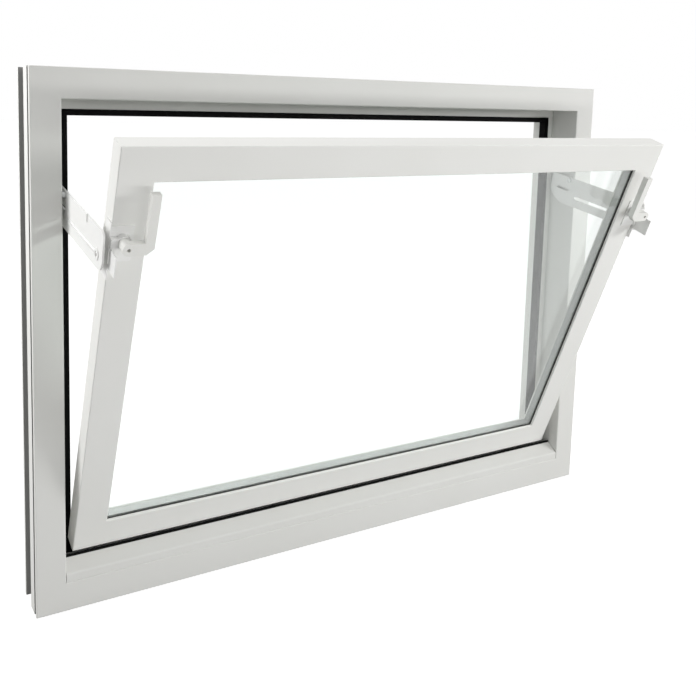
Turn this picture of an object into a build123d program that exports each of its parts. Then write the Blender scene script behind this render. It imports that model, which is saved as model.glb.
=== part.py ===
from build123d import *
import os
from math import cos, radians, sin

# A utility window in white plastic with one sash, hinged along its bottom edge.
# X runs to the right seen from the room, Y into the wall and Z up. The origin lies
# at mid width on the flat band of the frame's underside. Every piece of the sash is
# drawn shut and upright, then swung open about the hinge to the angle it rests at.

# Overall size
width = 1000.0
height = 725.0
depth = 80.0
tilt = 20.5

# Frame section, measured inward from its outer side and in depth from the room face
bar = 40.0
edge_radius = 1.5
first_groove = (6.0, 11.0)
wide_groove = (32.0, 62.0)
rear_lip = 68.0
groove_depth = 4.0
rear_inset = 3.0
step_start = 20.0
step = 1.0
stop = 56.0
throat = 61.0
wall = 3.0
room = -(first_groove[1] + wide_groove[0]) / 2

# Frame gaskets
gasket_edge = 52.5
gasket_proud = 3.7
gasket_leg = 10.0
gasket_skin = 1.5
gasket_radius = 1.6

# Sill
bead_nose = 51.5
bead_top = 65.0
bead_set_back = 0.8
bead_radius = 4.0
bead_gap = 0.6
seal_thickness = 5.0
seal_lip = 3.0
seal_rise = 3.0
upstand_rise = 25.0
upstand_fall = 6.0

# Sash
side_gap = 15.0
head_gap = 6.0
sill_gap = 37.0
touch = 0.3
sash_thickness = 28.0
sash_face = 44.0
glazing_lip = 4.0
bead_width = 12.0
sash_wall = 3.5

# Glass
pane = 4.0
cavity = 12.0
glass_cover = 10.0
glazing_strip = 0.6
glazing_line = 1.5
spacer_width = 9.0
spacer_rise = 2.0

# Bottom hinges
hinge_spread = 320.0
hinge_set_back = 20.0
hinge_drop = 6.0
barrel_radius = 5.0
hinge_pin_radius = 2.5
hinge_half = 24.0
knuckle_half = 8.5
hinge_play = 0.5
leaf_thickness = 2.5

# Stays
stay_thickness = 2.4
stay_offset = 7.4
stay_slope = 11.0
pin_rise = 465.0
pin_set_back = 10.0
pin_radius = 4.0
pin_clearance = 0.5
stud_offset = 28.0
stay_front = 33.0
stay_back = 17.0
stay_tail = 38.0
stay_nose = 20.0
slot_width = 9.0
stud_radius = 3.0
stud_head = 4.5
stud_head_height = 1.3

# Latches
hub_rise = 488.0
hub_inset = 14.0
plate_thickness = 1.5
spindle_radius = 3.0
hub_radius = 7.5
tongue_thickness = 8.0
tongue_reach = 15.6
tongue_half = 5.5
hub_length = 4.5
arm_thickness = 4.0
grip_thickness = 14.0
grip_near = 24.0
grip_far = 36.0
grip_top = 68.0
arm_low = -11.0
arm_high = 3.0

# Places that follow from the sizes
shut_face = stop - gasket_proud - touch - sash_thickness
sash_y = room + shut_face
sash_half = width / 2 - bar - side_gap
sash_low = bar + sill_gap
sash_high = height - bar - head_gap
hinge_y = sash_y + hinge_set_back
hinge_z = sash_low - hinge_drop
hinge_axis = Axis((0, hinge_y, hinge_z), (1, 0, 0))
pane_inset = sash_face - glass_cover
inner_pane = glazing_lip + glazing_strip
outer_pane = inner_pane + pane + cavity
step_face = bar - step


def turned(y, z, angle):
    """A point in the YZ plane swung about the hinge axis, the top towards the room."""
    across = y - hinge_y
    up = z - hinge_z
    return (
        hinge_y + across * cos(radians(angle)) - up * sin(radians(angle)),
        hinge_z + across * sin(radians(angle)) + up * cos(radians(angle)),
    )


# The stay hangs upright beside the shut sash. Open, its slot points at the pin's new place.
pin_y = sash_y + pin_set_back
pin_z = sash_low + pin_rise
open_pin_y, open_pin_z = turned(pin_y, pin_z, tilt)
slope_sin = sin(radians(stay_slope))
slope_cos = cos(radians(stay_slope))
slot_far = (pin_y - open_pin_y - stud_offset * (1 - slope_sin)) / slope_cos
slot_near = open_pin_z - pin_z + slot_far * slope_sin + stud_offset * slope_cos
stud_y = pin_y - stud_offset
stud_z = pin_z + slot_near
stud_axis = Axis((0, stud_y, stud_z), (1, 0, 0))
stay_lift = -(90 - stay_slope)
stay_x = -(width / 2 - bar - stay_offset)


def finish(part, name, axis=None, angle=0.0):
    """Swing a piece to its rest angle, label it and write it."""
    if axis is not None:
        part = part.rotate(axis, angle)
    part.label = name
    os.makedirs("parts", exist_ok=True)
    export_step(part, f"parts/{name}.step")


def finish_pair(part, name, axis=None, angle=0.0):
    """Write a left hand piece and its mirror image on the right."""
    finish(part, f"{name}_left", axis, angle)
    finish(mirror(part, about=Plane.YZ), f"{name}_right", axis, angle)


def area(depth_from, depth_to, low, high, mode=Mode.ADD):
    """A rectangle in a section: x is the depth, y the way inward."""
    with Locations(((depth_from + depth_to) / 2, (low + high) / 2)):
        Rectangle(depth_to - depth_from, high - low, mode=mode)


def four_sides(half_width, low, high):
    """Middle, inward direction and half length of each side of an upright rectangle."""
    middle = (low + high) / 2
    half_height = (high - low) / 2
    return {
        "top": (0, high, (0, 0, -1), half_width),
        "bottom": (0, low, (0, 0, 1), half_width),
        "left": (-half_width, middle, (1, 0, 0), half_height),
        "right": (half_width, middle, (-1, 0, 0), half_height),
    }


def mitred_bar(section, face_y, x, z, inward, half_length):
    """A section drawn across the middle of a side, run both ways and cut at 45 degrees."""
    across = Plane(origin=(x, face_y, z), x_dir=(0, 1, 0), z_dir=Vector(0, 1, 0).cross(Vector(inward)))
    with BuildPart() as member:
        with BuildSketch(across):
            section()
        extrude(amount=half_length, both=True)
        for end in (1, -1):
            corner = across.origin + across.z_dir * (end * half_length)
            outward = across.y_dir + across.z_dir * end
            split(bisect_by=Plane(origin=corner, z_dir=outward), keep=Keep.BOTTOM)
    return member.part


def straight_bar(section, half_length, face_y=room, z=0.0):
    """A section run both ways from mid width, with square ends."""
    with BuildPart() as member:
        with BuildSketch(Plane(origin=(0, face_y, z), x_dir=(0, 1, 0), z_dir=(1, 0, 0))):
            section()
        extrude(amount=half_length, both=True)
    return member.part


# Outer frame
def frame_section():
    """Hollow bar with grooves for the wall fixings, a stepped reveal and a stop leg."""
    area(0, depth, 0, bar)
    area(stop, depth, 0, throat)
    area(step_start, stop, step_face, bar, Mode.SUBTRACT)
    fillet(vertices().group_by(Axis.X)[0], radius=edge_radius)
    area(*first_groove, 0, groove_depth, Mode.SUBTRACT)
    area(*wide_groove, 0, groove_depth, Mode.SUBTRACT)
    area(rear_lip, depth, 0, rear_inset, Mode.SUBTRACT)
    area(stop, stop + gasket_leg, throat - gasket_skin, throat, Mode.SUBTRACT)
    inner = groove_depth + wall
    area(wall, step_start - wall / 2, inner, bar - wall, Mode.SUBTRACT)
    area(step_start + wall / 2, stop - wall / 2, inner, step_face - wall, Mode.SUBTRACT)
    area(stop + wall, depth - wall, inner, throat - gasket_skin - wall, Mode.SUBTRACT)


frame_names = {"top": "frame_head", "bottom": "frame_sill", "left": "frame_left_jamb", "right": "frame_right_jamb"}
frame_sides = four_sides(width / 2, 0, height)
for side, place in frame_sides.items():
    finish(mitred_bar(frame_section, room, *place), frame_names[side])


# Black rubber on the stop legs
def gasket_section():
    """A cushion in front of the stop leg with a leg that lines the throat."""
    area(stop - gasket_proud, stop, gasket_edge, throat)
    area(stop, stop + gasket_leg, throat - gasket_skin, throat)
    fillet(vertices().group_by(Axis.X)[0], radius=gasket_radius)


for side, place in frame_sides.items():
    finish(mitred_bar(gasket_section, room, *place), f"gasket_{side}")


# Sill bead, seal and upstand
def sill_bead_section():
    """A sloped strip with a round nose and one chamber."""
    Polygon(
        (bead_set_back, bar),
        (bead_set_back, bead_nose),
        (step_start, bead_top),
        (step_start, bar),
        align=None,
    )
    fillet(vertices().group_by(Axis.X)[0].sort_by(Axis.Y)[-1], radius=bead_radius)
    area(bead_set_back + wall, step_start - wall, bar + wall, bead_nose - wall / 2, Mode.SUBTRACT)


def sill_seal_section():
    """A rubber strip behind the bead with a thinner lip on top."""
    area(step_start, step_start + seal_thickness, step_face, bead_top)
    area(step_start, step_start + seal_lip, bead_top, bead_top + seal_rise)
    fillet(vertices().group_by(Axis.Y)[-1].sort_by(Axis.X)[-1], radius=seal_lip / 3)


def upstand_section():
    """A rail on the sill's stop leg, sloped on top so that water runs off outside."""
    Polygon(
        (stop, throat),
        (stop, throat + upstand_rise),
        (depth, throat + upstand_rise - upstand_fall),
        (depth, throat),
        align=None,
    )
    area(stop + wall, depth - wall, throat + wall, throat + upstand_rise - upstand_fall - wall, Mode.SUBTRACT)


gasket_height = throat - gasket_edge
upstand_gasket_top = throat + upstand_rise - 2.0


def upstand_gasket_section():
    """A cushion along the upstand that meets the shut sash's bottom rail."""
    area(stop - gasket_proud, stop, upstand_gasket_top - gasket_height, upstand_gasket_top)
    fillet(vertices().group_by(Axis.X)[0], radius=gasket_radius)


between_throats = width / 2 - throat
finish(straight_bar(sill_bead_section, width / 2 - bar - bead_gap), "sill_bead")
finish(straight_bar(sill_seal_section, width / 2 - step_face), "sill_seal")
finish(straight_bar(upstand_section, between_throats), "sill_upstand")
finish(straight_bar(upstand_gasket_section, between_throats), "upstand_gasket")


# Sash rails and stiles
def sash_section():
    """Two chambers, a lip in front of the glass and an open rebate behind it."""
    area(0, sash_thickness, 0, sash_face - bead_width)
    area(0, glazing_lip, 0, sash_face)
    fillet(vertices().group_by(Axis.X)[0] + vertices().group_by(Axis.X)[-1], radius=edge_radius)
    middle = sash_thickness / 2
    inside = sash_face - bead_width - sash_wall
    area(sash_wall, middle - sash_wall / 4, sash_wall, inside, Mode.SUBTRACT)
    area(middle + sash_wall / 4, sash_thickness - sash_wall, sash_wall, inside, Mode.SUBTRACT)


def glazing_gasket_section():
    """A thin strip against the glass that shows as a line round the lip."""
    area(glazing_lip, inner_pane, pane_inset + 2, sash_face + glazing_line)
    area(edge_radius, inner_pane, sash_face, sash_face + glazing_line)


def glazing_bead_section():
    """The bead that holds the glass from outside, with a sloped inner edge."""
    area(outer_pane + pane, sash_thickness, sash_face - bead_width, sash_face)
    chamfer(vertices().group_by(Axis.X)[-1].sort_by(Axis.Y)[-1], length=edge_radius)


def spacer_section():
    """The bar between the panes."""
    spacer_top = sash_face + spacer_rise
    area(inner_pane + pane, outer_pane, spacer_top - spacer_width, spacer_top)


sash_names = {"top": "sash_top_rail", "bottom": "sash_bottom_rail", "left": "sash_left_stile", "right": "sash_right_stile"}
sash_sides = four_sides(sash_half, sash_low, sash_high)
for side, place in sash_sides.items():
    finish(mitred_bar(sash_section, sash_y, *place), sash_names[side], hinge_axis, tilt)
    finish(mitred_bar(glazing_gasket_section, sash_y, *place), f"glazing_gasket_{side}", hinge_axis, tilt)
    finish(mitred_bar(glazing_bead_section, sash_y, *place), f"glazing_bead_{side}", hinge_axis, tilt)

with BuildPart() as glass_spacer:
    for place in sash_sides.values():
        add(mitred_bar(spacer_section, sash_y, *place))
finish(glass_spacer.part, "glass_spacer", hinge_axis, tilt)

# Glass
pane_width = 2 * (sash_half - pane_inset)
pane_height = sash_high - sash_low - 2 * pane_inset
for name, set_back in (("glass_inner", inner_pane), ("glass_outer", outer_pane)):
    middle = (0, sash_y + set_back, (sash_low + sash_high) / 2)
    with BuildPart() as glass:
        with BuildSketch(Plane(origin=middle, x_dir=(1, 0, 0), z_dir=(0, -1, 0))):
            Rectangle(pane_width, pane_height)
        extrude(amount=-pane)
    finish(glass.part, name, hinge_axis, tilt)

# Bottom hinges: two frame knuckles on one pin, and a sash knuckle between them
upstand_y = room + stop
hinge_x = -hinge_spread
hinge_end = Plane(origin=(hinge_x, hinge_y, hinge_z), x_dir=(0, 1, 0), z_dir=(1, 0, 0))
bracket_reach = upstand_y - hinge_y
with BuildPart() as hinge_bracket:
    with BuildSketch(hinge_end.offset(-hinge_half)):
        Circle(hinge_pin_radius)
    extrude(amount=2 * hinge_half)
    for start in (-hinge_half, knuckle_half + hinge_play):
        with BuildSketch(hinge_end.offset(start)):
            Circle(barrel_radius)
            area(0, bracket_reach, -barrel_radius, 0)
        extrude(amount=hinge_half - knuckle_half - hinge_play)
    with BuildSketch(hinge_end.offset(-hinge_half)):
        area(bracket_reach - leaf_thickness, bracket_reach, -barrel_radius - 3, leaf_thickness)
    extrude(amount=2 * hinge_half)
finish_pair(hinge_bracket.part, "hinge_bracket")

leaf_far = hinge_set_back - sash_wall
with BuildPart() as hinge_leaf:
    with BuildSketch(hinge_end.offset(-knuckle_half)):
        Circle(barrel_radius)
        area(-barrel_radius - 1, 0, 0, hinge_drop)
        Circle(hinge_pin_radius + touch, mode=Mode.SUBTRACT)
    extrude(amount=2 * knuckle_half)
    with BuildSketch(hinge_end.offset(-hinge_half)):
        area(-leaf_far, -barrel_radius - 1, hinge_drop - leaf_thickness, hinge_drop)
    extrude(amount=2 * hinge_half)
finish_pair(hinge_leaf.part, "hinge_leaf", hinge_axis, tilt)

# Stays: slotted plates that hang beside the shut sash, drawn with x down and y to the room
stay_plane = Plane(origin=(stay_x, stud_y + stud_offset, stud_z), x_dir=(0, 0, -1), z_dir=(-1, 0, 0))
stay_end = slot_far + stay_nose
slot_middle = (slot_near + slot_far) / 2
notch_middle = slot_near + 0.64 * (slot_far - slot_near)
with BuildPart() as stay:
    with BuildSketch(stay_plane):
        with Locations((0, stud_offset)):
            Circle(stud_offset + stay_back)
        area(-stay_tail, stay_end, -stay_back, stay_front, Mode.INTERSECT)
        area(0, stay_end, -stay_back, stay_front)
        fillet(vertices().group_by(Axis.X)[-1].sort_by(Axis.Y)[0], radius=stay_back - 1)
        fillet(vertices().group_by(Axis.X)[-1].sort_by(Axis.Y)[-1], radius=stay_back / 2)
        with Locations((slot_middle, 0)):
            SlotCenterToCenter(slot_far - slot_near, slot_width, mode=Mode.SUBTRACT)
        with Locations((-10, 10)):
            SlotCenterToCenter(22, slot_width / 2, mode=Mode.SUBTRACT)
        with Locations((0, stud_offset)):
            Circle(stud_radius + touch, mode=Mode.SUBTRACT)
        area(notch_middle - 5, notch_middle + 5, stay_front - 8, stay_front, Mode.SUBTRACT)
    extrude(amount=stay_thickness)
finish_pair(stay.part, "stay", stud_axis, stay_lift)

# The rivet that closes the front end of the slot
rivet_flange = 1.2
with BuildPart() as stay_rivet:
    with BuildSketch(stay_plane):
        with Locations((slot_far, 0)):
            Circle(slot_width / 2)
    extrude(amount=stay_thickness)
    with BuildSketch(stay_plane.offset(stay_thickness)):
        with Locations((slot_far, 0)):
            Circle(slot_width / 2 + 2.5)
    extrude(amount=rivet_flange)
    with BuildSketch(stay_plane.offset(stay_thickness + rivet_flange)):
        with Locations((slot_far, 0)):
            Circle(slot_width / 3)
    extrude(amount=-stay_thickness, mode=Mode.SUBTRACT)
finish_pair(stay_rivet.part, "stay_rivet", stud_axis, stay_lift)

# Shouldered studs in the jambs, drawn from the reveal inward
reveal_x = -(width / 2 - bar)
stud_plane = Plane(origin=(reveal_x, stud_y, stud_z), x_dir=(0, 1, 0), z_dir=(1, 0, 0))
shoulder = stay_offset - stay_thickness - touch
neck = stay_offset + touch
with BuildPart() as stay_stud:
    with BuildSketch(stud_plane):
        Circle(stud_head)
    extrude(amount=shoulder)
    with BuildSketch(stud_plane):
        Circle(stud_radius)
    extrude(amount=neck)
    with BuildSketch(stud_plane.offset(neck)):
        Circle(stud_head)
    extrude(amount=stud_head_height)
    chamfer(stay_stud.edges().group_by(Axis.X)[-1], length=stud_head_height / 2)
finish_pair(stay_stud.part, "stay_stud")

# Latch plates wrap the stiles' edges and carry the spindles and the pins for the stays
hub_x = -sash_half + hub_inset
hub_z = sash_low + hub_rise
latch_face = Plane(origin=(hub_x, sash_y, hub_z), x_dir=(1, 0, 0), z_dir=(0, -1, 0))
spindle_length = tongue_thickness + hub_length + arm_thickness / 2
flange_back = pin_set_back + pin_radius + 1
with BuildPart() as latch_plate:
    with BuildSketch(latch_face):
        area(-hub_inset - plate_thickness, 13, -28, 18)
        fillet(vertices().group_by(Axis.X)[-1], radius=2)
    extrude(amount=plate_thickness)
    with BuildSketch(latch_face.offset(-flange_back)):
        area(-hub_inset - plate_thickness, -hub_inset, -50, 22)
    extrude(amount=flange_back + plate_thickness)
    with BuildSketch(latch_face):
        area(-hub_inset - plate_thickness, -hub_inset, -50, -hub_radius)
    extrude(amount=3 * plate_thickness)
    with BuildSketch(latch_face):
        Circle(spindle_radius)
    extrude(amount=plate_thickness + spindle_length)
finish_pair(latch_plate.part, "latch_plate", hinge_axis, tilt)

# Pins for the stays stop just short of the plates
pin_plane = Plane(origin=(-sash_half - plate_thickness, pin_y, pin_z), x_dir=(0, 1, 0), z_dir=(-1, 0, 0))
pin_reach = side_gap - stay_offset - plate_thickness - pin_clearance
with BuildPart() as stay_pin:
    with BuildSketch(pin_plane):
        Circle(pin_radius)
    extrude(amount=pin_reach)
    chamfer(stay_pin.edges().group_by(Axis.X)[0], length=pin_radius / 5)
finish_pair(stay_pin.part, "stay_pin", hinge_axis, tilt)

# Latch tongues turn with the levers just in front of the plates
tongue_back = plate_thickness + touch
with BuildPart() as latch_tongue:
    with BuildSketch(latch_face.offset(tongue_back)):
        Circle(hub_radius + 1)
        area(-tongue_reach, 0, -tongue_half, tongue_half)
        Circle(spindle_radius + touch, mode=Mode.SUBTRACT)
    extrude(amount=tongue_thickness)
finish_pair(latch_tongue.part, "latch_tongue", hinge_axis, tilt)

# Levers: a hub, a flat arm with a screw hole, and an upright grip that stands proud
hub_back = tongue_back + tongue_thickness
arm_back = hub_back + hub_length
grip_back = arm_back - 1
with BuildPart() as latch_lever:
    with BuildSketch(latch_face.offset(hub_back)):
        Circle(hub_radius)
    extrude(amount=hub_length)
    with BuildSketch(latch_face.offset(arm_back)):
        Circle(hub_radius + 1)
        area(0, grip_far, arm_low, arm_high)
        chamfer(vertices().group_by(Axis.X)[-1].sort_by(Axis.Y)[0], length=grip_far - grip_near - 4)
    extrude(amount=arm_thickness)
    with BuildSketch(latch_face.offset(grip_back)):
        area(grip_near, grip_far, arm_high - 4, grip_top)
    extrude(amount=grip_thickness)
    fillet(latch_lever.faces().sort_by(Axis.Y)[0].edges(), radius=edge_radius)
    with BuildSketch(latch_face.offset(hub_back)):
        Circle(spindle_radius + touch)
    extrude(amount=spindle_length - tongue_thickness + touch, mode=Mode.SUBTRACT)
    with BuildSketch(latch_face.offset(arm_back)):
        with Locations((hub_radius + 2, -5)):
            Circle(2)
    extrude(amount=arm_thickness, mode=Mode.SUBTRACT)
finish_pair(latch_lever.part, "latch_lever", hinge_axis, tilt)
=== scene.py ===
import math

import bmesh
import bpy
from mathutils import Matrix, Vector
from mathutils.geometry import tessellate_polygon


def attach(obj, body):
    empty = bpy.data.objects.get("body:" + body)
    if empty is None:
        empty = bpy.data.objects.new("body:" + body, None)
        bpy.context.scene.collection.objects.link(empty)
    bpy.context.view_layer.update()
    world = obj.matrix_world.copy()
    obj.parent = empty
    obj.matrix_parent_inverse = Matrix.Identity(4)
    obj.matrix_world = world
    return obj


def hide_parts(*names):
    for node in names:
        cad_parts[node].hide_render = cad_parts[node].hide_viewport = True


# A white plastic tilt window, seen from the room. Z is up and Y goes into the wall. The scene
# is in metres. Sizes of patterns and of the finer shapes are given in millimetres.
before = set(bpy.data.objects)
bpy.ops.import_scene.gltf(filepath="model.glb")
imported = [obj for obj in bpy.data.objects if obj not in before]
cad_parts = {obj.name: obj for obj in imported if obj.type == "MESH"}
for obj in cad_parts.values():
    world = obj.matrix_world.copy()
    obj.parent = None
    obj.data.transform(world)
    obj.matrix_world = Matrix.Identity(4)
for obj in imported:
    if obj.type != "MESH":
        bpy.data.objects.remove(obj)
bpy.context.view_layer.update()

MM = 0.001
SASH_TILT = math.radians(20.5)
WHITE = (1, 1, 1, 1)


# Helpers for materials
def linear(colour):
    """An sRGB hex colour as linear red, green, blue and full alpha."""
    parts = [int(colour[i : i + 2], 16) / 255 for i in (1, 3, 5)]
    return [c / 12.92 if c <= 0.04045 else ((c + 0.055) / 1.055) ** 2.4 for c in parts] + [1.0]


def add_node(tree, kind, values=None, links=None, **settings):
    """One node with its settings, its input values and the sockets that feed it."""
    node = tree.nodes.new(kind)
    for key, value in settings.items():
        setattr(node, key, value)
    for socket, value in (values or {}).items():
        node.inputs[socket].default_value = value
    for socket, source in (links or {}).items():
        tree.links.new(source, node.inputs[socket])
    return node


def new_surface(name, colour, **shader):
    """A material with an empty tree but for its shader and output."""
    material = bpy.data.materials.new(name)
    material.use_nodes = True
    tree = material.node_tree
    tree.nodes.clear()
    values = {"Base Color": linear(colour), **{k.replace("_", " "): v for k, v in shader.items()}}
    surface = add_node(tree, "ShaderNodeBsdfPrincipled", values)
    output = add_node(tree, "ShaderNodeOutputMaterial", links={"Surface": surface.outputs["BSDF"]})
    return material, tree, surface, output


def own_place(tree):
    """Places in the piece's own space, where patterns keep their real size."""
    return add_node(tree, "ShaderNodeTexCoord").outputs["Object"]


def noise(tree, place, size, detail):
    """A soft noise whose spots have a real size."""
    values = {"Scale": 1 / (size * MM), "Detail": detail}
    return add_node(tree, "ShaderNodeTexNoise", values, {"Vector": place}).outputs["Fac"]


def shade_between(tree, surface, factor, low, high):
    """Varies the colour a little with a pattern."""
    ramp = add_node(tree, "ShaderNodeValToRGB", links={"Fac": factor})
    ramp.color_ramp.elements[0].color = linear(low)
    ramp.color_ramp.elements[1].color = linear(high)
    tree.links.new(ramp.outputs["Color"], surface.inputs["Base Color"])


def roughness_between(tree, surface, factor, low, high):
    """Varies the roughness between two values with a pattern."""
    spread = add_node(
        tree, "ShaderNodeMapRange", {"To Min": low, "To Max": high}, {"Value": factor}
    )
    tree.links.new(spread.outputs["Result"], surface.inputs["Roughness"])


def raise_by(tree, surface, height, distance, strength=1.0):
    """Lifts the surface by a pattern, over a real distance."""
    values = {"Distance": distance * MM, "Strength": strength}
    bump = add_node(tree, "ShaderNodeBump", values, {"Height": height})
    tree.links.new(bump.outputs["Normal"], surface.inputs["Normal"])


def ray_is(tree, *kinds):
    """One for rays of any of these kinds, by their names in the light path, or else zero."""
    path = add_node(tree, "ShaderNodeLightPath")
    found = path.outputs[kinds[0]]
    for kind in kinds[1:]:
        links = {0: found, 1: path.outputs[kind]}
        found = add_node(tree, "ShaderNodeMath", links=links, operation="MAXIMUM").outputs["Value"]
    return found


def grained(name, colours, size, detail, rough, lift, strength=1.0, **shader):
    """A material whose colour, roughness and height follow one fine noise."""
    material, tree, surface, _ = new_surface(name, colours[0], **shader)
    grain = noise(tree, own_place(tree), size, detail)
    shade_between(tree, surface, grain, *colours[1:])
    roughness_between(tree, surface, grain, *rough)
    raise_by(tree, surface, grain, lift, strength)
    return material


# Window plastic, extruded: a soft sheen, faint draw lines along each bar every few
# millimetres and a very slight waviness, so that highlights on it aren't dead straight
def extruded_plastic(name, colours, stretch, turn=0.0):
    material, tree, surface, _ = new_surface(name, colours[0], IOR=1.53, Specular_IOR_Level=0.25)
    place = own_place(tree)
    values = {"Rotation": (turn, 0, 0), "Scale": stretch}
    along = add_node(tree, "ShaderNodeMapping", values, {"Vector": place}).outputs["Vector"]
    lines = noise(tree, along, size=3, detail=3.0)
    wave = noise(tree, place, size=90, detail=1.0)
    shade_between(tree, surface, wave, *colours[1:])
    roughness_between(tree, surface, lines, 0.48, 0.6)
    raise_by(tree, surface, lines, distance=0.012, strength=0.5)
    return material


# Float glass: flat and clear with a faint grey green body. Shadow rays and scattered light go
# straight through it, as they do through a thin pane.
def float_glass():
    clear = "#FCFEFD"
    material, tree, surface, output = new_surface(
        "float_glass", clear, IOR=1.5, Transmission_Weight=1.0, Roughness=0.0
    )
    roll = noise(tree, own_place(tree), size=160, detail=0.0)
    raise_by(tree, surface, roll, distance=0.02, strength=0.3)
    through = add_node(tree, "ShaderNodeBsdfTransparent", {"Color": linear(clear)})
    straight = ray_is(tree, "Is Shadow Ray", "Is Diffuse Ray")
    links = {0: straight, 1: surface.outputs["BSDF"], 2: through.outputs["BSDF"]}
    mixed = add_node(tree, "ShaderNodeMixShader", links=links)
    tree.links.new(mixed.outputs["Shader"], output.inputs["Surface"])
    return material


# Galvanised steel spacer bar: dull grey with small blotches and tiny breather holes
def spacer_steel():
    material, tree, surface, _ = new_surface("galvanised_spacer", "#9A9C9A", Metallic=0.6)
    place = own_place(tree)
    blotch = noise(tree, place, size=6, detail=3.0)
    shade_between(tree, surface, blotch, "#8E908E", "#A8AAA8")
    roughness_between(tree, surface, blotch, 0.4, 0.6)
    holes = add_node(tree, "ShaderNodeTexVoronoi", {"Scale": 1 / (2 * MM)}, {"Vector": place})
    raise_by(tree, surface, holes.outputs["Distance"], distance=0.05, strength=0.4)
    return material


# Colours: the middle one, then the darkest and the lightest that the pattern reaches
FRAME_WHITE = ("#DCDCD8", "#DADAD6", "#DEDEDB")
# The sash is the same plastic as the frame, painted lighter: painted light for the stronger light
# its tilted face catches
SASH_LIT_WHITE = ("#E9E9E6", "#E7E7E3", "#EBEBE8")
GROOVE_SHADE_GREY = ("#9C9C9A", "#989896", "#A0A09E")
# The draw lines are stretched fifty times along the bar
ALONG_X = (0.02, 1, 1)
ALONG_Z = (1, 1, 0.02)

across_bar = extruded_plastic("upvc_across", FRAME_WHITE, ALONG_X)
upright_bar = extruded_plastic("upvc_upright", FRAME_WHITE, ALONG_Z)
# The sash bars use the lighter copy of the plastic, painted light
sash_across = extruded_plastic("upvc_sash_across", SASH_LIT_WHITE, ALONG_X, -SASH_TILT)
sash_upright = extruded_plastic("upvc_sash_upright", SASH_LIT_WHITE, ALONG_Z, -SASH_TILT)
# The fixing grooves get painted shade: a greyer copy of the frame's plastic that stands in for the
# shadow falling in them
groove_painted_shade = extruded_plastic("upvc_groove_painted_shade", GROOVE_SHADE_GREY, (1, 1, 1))
# EPDM sealing rubber, extruded: matt black with a fine powdery grain
rubber = grained(
    "epdm_rubber", ("#040404", "#020202", "#070707"), size=0.8, detail=4.0,
    rough=(0.6, 0.85), lift=0.03, IOR=1.5, Specular_IOR_Level=0.06,
)
glass = float_glass()
spacer = spacer_steel()
# Steel with white powder coat: a fine orange peel that softens its highlights
coated = grained(
    "white_powder_coat", ("#EDEDEB", "#EAEAE8", "#F0F0EE"), size=1.2, detail=2.0,
    rough=(0.32, 0.45), lift=0.03, strength=0.6, IOR=1.5, Specular_IOR_Level=0.5,
)
# Zinc plated steel: bright grey with a fine turned grain
zinc = grained(
    "zinc_plated_steel", ("#B9BBBA", "#A9ABAA", "#C6C8C7"), size=0.6, detail=4.0,
    rough=(0.28, 0.45), lift=0.01, strength=0.5, Metallic=0.85,
)
# Moulded polyamide: satin white with a light spark texture from the mould
lever_white = grained(
    "polyamide_white", ("#E6E6E2", "#E2E2DE", "#EAEAE6"), size=0.5, detail=3.0,
    rough=(0.35, 0.5), lift=0.02, strength=0.6, IOR=1.53, Specular_IOR_Level=0.45,
)

# The first start that a node's name has gives its finish
FINISH_BY_START = {
    "frame_left": upright_bar,
    "frame_right": upright_bar,
    "frame_": across_bar,
    "sill_seal": rubber,
    "sill_": across_bar,
    "sash_left": sash_upright,
    "sash_right": sash_upright,
    "sash_": sash_across,
    "glazing_bead_left": sash_upright,
    "glazing_bead_right": sash_upright,
    "glazing_bead_": sash_across,
    "glazing_gasket_": rubber,
    "gasket_": rubber,
    "upstand_gasket": rubber,
    "glass_spacer": spacer,
    "glass_": glass,
    "hinge_": zinc,
    "stay_stud": zinc,
    "stay_pin": zinc,
    "stay_rivet": zinc,
    "stay_": coated,
    "latch_lever": lever_white,
    "latch_": coated,
}
for name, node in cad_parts.items():
    finish = next(m for start, m in FINISH_BY_START.items() if name.startswith(start))
    node.data.materials.clear()
    node.data.materials.append(finish)


def added(name, data):
    """A new object in the scene with this mesh, lamp or camera."""
    made = bpy.data.objects.new(name, data)
    bpy.context.collection.objects.link(made)
    return made


# Outer frame: the profile with its fixing grooves as deep as they show. Points of the section
# are given by the depth from the face and the way in from the outer side.
FRAME_HALF = 500.0
FRAME_HEIGHT = 725.0
FRAME_FACE_Y = -21.5
FRAME_BAR = 40
FRAME_DEPTH = 80
EDGE_ROUND = 1.5
EDGE_MIDDLE = 0.45
REVEAL_STEP = (20, 39)
STOP_SEAT = (56, 59.5)
STOP_LEG = (66, 61)
REAR_LIP = (68, 3)


def groove(start, end, deep):
    """A groove in the outer side, as four points of the section."""
    return [(start, 0), (start, deep), (end, deep), (end, 0)]


FRAME_SECTION = [
    (0, EDGE_ROUND), (EDGE_MIDDLE, EDGE_MIDDLE), (EDGE_ROUND, 0),
    *groove(5, 12, deep=7),
    *groove(32, 62, deep=12),
    (REAR_LIP[0], 0), REAR_LIP, (FRAME_DEPTH, REAR_LIP[1]),
    (FRAME_DEPTH, STOP_LEG[1]), STOP_LEG, (STOP_LEG[0], STOP_SEAT[1]), STOP_SEAT,
    (STOP_SEAT[0], REVEAL_STEP[1]), REVEAL_STEP, (REVEAL_STEP[0], FRAME_BAR),
    (EDGE_ROUND, FRAME_BAR), (EDGE_MIDDLE, FRAME_BAR - EDGE_MIDDLE), (0, FRAME_BAR - EDGE_ROUND),
]
# Sides of the section inside the grooves, counted from its first point. They carry the painted
# groove shade.
GROOVE_WALLS = (3, 4, 5, 7, 8, 9)


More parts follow.
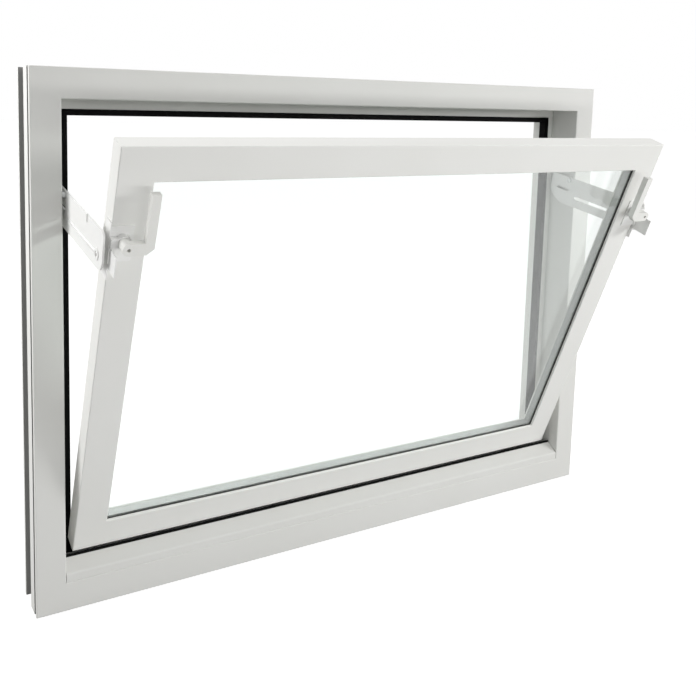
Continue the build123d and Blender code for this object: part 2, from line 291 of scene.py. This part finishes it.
def frame_ring():
    """The four bars as one shape, mitred at the corners, with their two grains and painted shade
    in the grooves.
    """
    turns = ((-1, True), (1, True), (1, False), (-1, False))
    corners = [
        Vector((
            side * (FRAME_HALF - way), FRAME_FACE_Y + depth, FRAME_HEIGHT - way if top else way
        )) * MM
        for depth, way in FRAME_SECTION
        for side, top in turns
    ]
    finishes = (across_bar, upright_bar, groove_painted_shade)
    count = len(FRAME_SECTION)
    faces, picks = [], []
    for i in range(count):
        for k in range(4):
            after, turn = (i + 1) % count * 4, (k + 1) % 4
            faces.append((i * 4 + k, i * 4 + turn, after + turn, after + k))
            # Groove walls take the greyer copy of the plastic, painted shade
            picks.append(finishes.index(groove_painted_shade) if i in GROOVE_WALLS else k % 2)
    mesh = bpy.data.meshes.new("outer_frame")
    mesh.from_pydata(corners, [], faces)
    for finish in finishes:
        mesh.materials.append(finish)
    mesh.polygons.foreach_set("material_index", picks)
    shape = bmesh.new()
    shape.from_mesh(mesh)
    bmesh.ops.recalc_face_normals(shape, faces=shape.faces)
    shape.to_mesh(mesh)
    shape.free()
    piece = added("outer_frame", mesh)
    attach(piece, "frame")
    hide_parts("frame_head", "frame_sill", "frame_left_jamb", "frame_right_jamb")


frame_ring()

# The shut sash and what its fittings are placed by. Points in the YZ plane are pairs.
HINGE = (22.5, 71.0)
SASH_FACE_Y = 2.5
SASH_FOOT = 77.0
SASH_HALF = 445.0
SASH_HEIGHT = 602.0
LATCH_INSET = 14.0
LATCH_RISE = 488.0
STUD = (-15.5, 563.691)
STUD_SIDE = 28.0
STAY_X = -452.6
STAY_LIFT = math.radians(-79)


def turned(centre, angle, y, z):
    """A point swung about a line along X, the top towards the room."""
    across, up = y - centre[0], z - centre[1]
    return (
        centre[0] + across * math.cos(angle) - up * math.sin(angle),
        centre[1] + across * math.sin(angle) + up * math.cos(angle),
    )


def on_sash(x, rise, proud):
    """A place on the tilted sash, by its way across, up from the foot and out of the face."""
    return Vector((x, *turned(HINGE, SASH_TILT, SASH_FACE_Y - proud, SASH_FOOT + rise))) * MM


def at_latch(a, b, proud):
    """From the left latch's axis, a inward and b up."""
    return on_sash(a + LATCH_INSET - SASH_HALF, b + LATCH_RISE, proud)


def at_edge(proud, b, out):
    """On the sash's left edge: out of the face, up from the latch's axis, away from the edge."""
    return on_sash(-SASH_HALF - out, b + LATCH_RISE, proud)


def behind_face(back, b, out):
    """On the sash's left edge like at_edge, but back from the face."""
    return at_edge(-back, b, out)


def at_stay(a, b, out):
    """On the left stay, drawn hanging: a down from its stud, b from the slot's line towards
    the room, then away from the sash."""
    y, z = STUD[0] + STUD_SIDE - b, STUD[1] - a
    return Vector((STAY_X - out, *turned(STUD, STAY_LIFT, y, z))) * MM


def arc(x, y, radius, start, end, steps):
    """Points on an arc, from one angle in degrees to another."""
    angles = [math.radians(start + (end - start) * i / steps) for i in range(steps + 1)]
    return [(x + radius * math.cos(a), y + radius * math.sin(a)) for a in angles]


def ring(x, y, radius, steps=40):
    """A closed circle of points."""
    return arc(x, y, radius, 0, 360, steps)[:-1]


def slot_points(start, end, y, width):
    """The outline of a slot with round ends along X."""
    return arc(end, y, width / 2, -90, 90, 12) + arc(start, y, width / 2, 90, 270, 12)


def box_points(x0, y0, x1, y1):
    """The corners of a rectangle."""
    return [(x0, y0), (x1, y0), (x1, y1), (x0, y1)]


def plate(outline, holes, back, front, place):
    """Corners and faces of a flat shape with holes, from one depth to another."""
    loops = [outline, *holes]
    count = sum(len(loop) for loop in loops)
    corners = [place(x, y, depth) for depth in (back, front) for loop in loops for x, y in loop]
    flat = tessellate_polygon([[Vector((x, y, 0)) for x, y in loop] for loop in loops])
    faces = [tuple(t) for t in flat] + [tuple(i + count for i in t) for t in flat]
    first = 0
    for loop in loops:
        for i in range(len(loop)):
            here, after = first + i, first + (i + 1) % len(loop)
            faces.append((here, after, after + count, here + count))
        first += len(loop)
    return corners, faces


def fitting(name, plates, finish, body, stands_for, mirrored=False, ease=0.0):
    """One piece made of plates, that moves with a body and stands for solids."""
    shape = bmesh.new()
    for corners, faces in plates:
        made = [shape.verts.new((-c.x, c.y, c.z) if mirrored else c) for c in corners]
        for face in faces:
            shape.faces.new([made[i] for i in face])
    bmesh.ops.recalc_face_normals(shape, faces=shape.faces)
    mesh = bpy.data.meshes.new(name)
    shape.to_mesh(mesh)
    shape.free()
    mesh.materials.append(finish)
    piece = added(name, mesh)
    if ease:
        rounding = piece.modifiers.new("eased_edges", "BEVEL")
        rounding.width = ease * MM
        rounding.segments = 2
        rounding.limit_method = "ANGLE"
        rounding.angle_limit = math.radians(40)
    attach(piece, body)
    if stands_for:
        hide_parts(*stands_for)


# Stays: the slot is as wide as its thin pin, and a wide flat ring closes its front end
SHEET = 2.4
STAY_FRONT = 33
STAY_BACK = -17
STAY_TAIL = -38
STAY_NOSE = 164.3
NOSE_TOP_ROUND = 8.5
NOSE_FOOT_ROUND = 16
TAIL_ANGLE = -147.6
NOTCH = (97.2, 103.2)
NOTCH_FLOOR = 26
SLOT = (21.69, 144.31)
SLOT_WIDTH = 5.4
TAIL_SLOT = (-21, 1)
TAIL_SLOT_SIDE = 10
TAIL_SLOT_WIDTH = 4.5
STUD_HOLE = 3.3
RING_OUTER = 7.2
RING_INNER = 3.9
RING_HEIGHT = 1.2
stay_outline = (
    arc(0, STUD_SIDE, STUD_SIDE - STAY_BACK, -90, TAIL_ANGLE, 10)
    + [(STAY_TAIL, STAY_FRONT), (NOTCH[0], STAY_FRONT), (NOTCH[0], NOTCH_FLOOR)]
    + arc(sum(NOTCH) / 2, NOTCH_FLOOR, (NOTCH[1] - NOTCH[0]) / 2, 180, 360, 8)
    + [(NOTCH[1], NOTCH_FLOOR), (NOTCH[1], STAY_FRONT)]
    + arc(STAY_NOSE - NOSE_TOP_ROUND, STAY_FRONT - NOSE_TOP_ROUND, NOSE_TOP_ROUND, 90, 0, 8)
    + arc(STAY_NOSE - NOSE_FOOT_ROUND, STAY_BACK + NOSE_FOOT_ROUND, NOSE_FOOT_ROUND, 0, -90, 10)
)
stay_holes = [
    slot_points(*SLOT, 0, SLOT_WIDTH),
    slot_points(*TAIL_SLOT, TAIL_SLOT_SIDE, TAIL_SLOT_WIDTH),
    ring(0, STUD_SIDE, STUD_HOLE),
]
ring_outline = ring(SLOT[1], 0, RING_OUTER)
ring_hole = ring(SLOT[1], 0, RING_INNER)

# Pins for the stays, on the sash's edges. They end half a millimetre short of the stays.
PIN_BACK = 10
PIN_RISE = 465
PIN_RADIUS = 2.5
PIN_OUT = (1.5, 7.1)
pin_outline = ring(PIN_BACK, PIN_RISE - LATCH_RISE, PIN_RADIUS, 24)

# Levers: a long round hub, then an arm and an upright grip of one thickness, with a cut corner
HUB_RADIUS = 7.5
HUB_PROUD = (9.8, 19)
LEVER_PROUD = (17.6, 26.6)
GRIP_NEAR = 19
GRIP_FAR = 30
GRIP_TOP = 67.8
CUT_START = 21
SCREW_HOLE = 2.2
hub_outline = ring(0, 0, HUB_RADIUS, 48)
lever_outline = arc(0, 0, HUB_RADIUS, 90, 270, 20) + [
    (CUT_START, -HUB_RADIUS), (GRIP_FAR, 0), (GRIP_FAR, GRIP_TOP),
    (GRIP_NEAR, GRIP_TOP), (GRIP_NEAR, HUB_RADIUS),
]
screw_hole = ring(0, 0, SCREW_HOLE, 20)

# Ears: the plates' side flanges stand far proud below the hubs, on a small foot
PLATE_THICKNESS = 1.5
EAR_PROUD = (7, 30)
EAR_LOW = -33
EAR_HIGH = -7
FOOT_TOP = (-29, -27)
ear_outline = [
    (0, EAR_LOW), (EAR_PROUD[1], EAR_LOW), (EAR_PROUD[1], EAR_HIGH),
    (EAR_PROUD[0], EAR_HIGH), (EAR_PROUD[0], FOOT_TOP[1]), (0, FOOT_TOP[0]),
]

for side, flip in (("left", False), ("right", True)):
    fitting(
        f"slotted_stay_{side}", [plate(stay_outline, stay_holes, 0, SHEET, at_stay)],
        coated, f"stay_{side}", [f"stay_{side}"], flip,
    )
    fitting(
        f"slot_ring_{side}",
        [plate(ring_outline, [ring_hole], SHEET, SHEET + RING_HEIGHT, at_stay)],
        coated, f"stay_{side}", [f"stay_rivet_{side}"], flip, ease=0.3,
    )
    fitting(
        f"thin_pin_{side}", [plate(pin_outline, [], *PIN_OUT, behind_face)],
        zinc, "sash", [f"stay_pin_{side}"], flip, ease=0.4,
    )
    fitting(
        f"lever_{side}",
        [
            plate(hub_outline, [], *HUB_PROUD, at_latch),
            plate(lever_outline, [screw_hole], *LEVER_PROUD, at_latch),
        ],
        lever_white, f"latch_{side}", [f"latch_lever_{side}"], flip, ease=0.7,
    )
    fitting(
        f"latch_ear_{side}", [plate(ear_outline, [], 0, PLATE_THICKNESS, at_edge)],
        coated, "sash", [], flip, ease=0.3,
    )

# Glazing gasket: a black line about a millimetre wide between the sash's lip and the pane
SEAT_INSET = 36
LINE_INSET = 44.9
LINE_PROUD = (-4.6, -4.0)
seat, line = (
    box_points(inset - SASH_HALF, inset, SASH_HALF - inset, SASH_HEIGHT - inset)
    for inset in (SEAT_INSET, LINE_INSET)
)
fitting(
    "glazing_line", [plate(seat, [line], *LINE_PROUD, on_sash)], rubber, "sash",
    [f"glazing_gasket_{side}" for side in ("top", "bottom", "left", "right")],
)

# Floor and background. Rays that show the background, straight, in a reflection or through
# glass, find both white. The light that they give is plain and dimmer.
SEEN_RAYS = ("Is Camera Ray", "Is Transmission Ray", "Is Glossy Ray")
FLOOR_REACH = 40.0
FLOOR_GLOW = 0.86
SKY_LIGHT = 0.45
SKY_SEEN = 1.0


def pale_floor():
    """White studio floor: to the camera it meets the white background, and it keeps shadows."""
    material, tree, surface, _ = new_surface(
        "studio_floor", "#909090", Roughness=0.9, Specular_IOR_Level=0.1, Emission_Color=WHITE
    )
    links = {0: ray_is(tree, *SEEN_RAYS)}
    glow = add_node(tree, "ShaderNodeMath", {1: FLOOR_GLOW}, links, operation="MULTIPLY")
    tree.links.new(glow.outputs["Value"], surface.inputs["Emission Strength"])
    return material


floor_mesh = bpy.data.meshes.new("studio_floor")
floor_square = box_points(-FLOOR_REACH, -FLOOR_REACH, FLOOR_REACH, FLOOR_REACH)
floor_mesh.from_pydata([(x, y, 0) for x, y in floor_square], [], [(0, 1, 2, 3)])
floor_mesh.materials.append(pale_floor())
floor = added("studio_floor", floor_mesh)

world = bpy.data.worlds.new("studio")
bpy.context.scene.world = world
world.use_nodes = True
sky = world.node_tree
sky.nodes.clear()
sky_levels = {"To Min": SKY_LIGHT, "To Max": SKY_SEEN}
level = add_node(sky, "ShaderNodeMapRange", sky_levels, {"Value": ray_is(sky, *SEEN_RAYS)})
light = add_node(
    sky, "ShaderNodeBackground", {"Color": WHITE}, {"Strength": level.outputs["Result"]}
)
add_node(sky, "ShaderNodeOutputWorld", links={"Surface": light.outputs["Background"]})


def soft_box(name, place, aim, size, power):
    """A rectangular studio lamp turned to face a point."""
    lamp = bpy.data.lights.new(name, "AREA")
    lamp.shape = "RECTANGLE"
    lamp.size, lamp.size_y = size
    lamp.energy = power
    holder = added(name, lamp)
    holder.location = place
    holder.rotation_mode = "QUATERNION"
    holder.rotation_quaternion = (Vector(aim) - Vector(place)).to_track_quat("-Z", "Y")


# Lamps: a soft one above, one behind and one to the right that light the whole window, a
# narrow upright one for the left side's grooves and a low strip for the sill
MIDDLE = (0.0, -0.05, 0.36)
soft_box("top_light", (0.2, 0.7, 2.8), MIDDLE, size=(1.8, 1.8), power=27)
soft_box("left_light", (-1.15, 0.15, 0.72), (-0.5, 0.02, 0.4), size=(0.2, 1.0), power=6)
soft_box("right_light", (2.9, -2.4, 1.1), MIDDLE, size=(1.6, 0.6), power=59)
soft_box("front_light", (0.15, -1.35, 0.25), (0.05, 0.0, 0.2), size=(1.6, 0.12), power=6.4)
soft_box("back_light", (-0.4, 3.0, 1.8), MIDDLE, size=(1.8, 1.8), power=25)

# Camera: left of the middle, just below the head's height, turned right and slightly down
camera_data = bpy.data.cameras.new("camera")
camera_data.sensor_width = 36.0
camera_data.lens = 42.53
camera_data.shift_x = 0.12
camera_data.shift_y = -0.2
camera = added("camera", camera_data)
camera.location = (-0.7266, -1.0565, 0.6724)
camera.rotation_euler = [math.radians(a) for a in (83.326, -1.051, -28.210)]
bpy.context.scene.camera = camera
bpy.context.scene.view_settings.view_transform = "Standard"
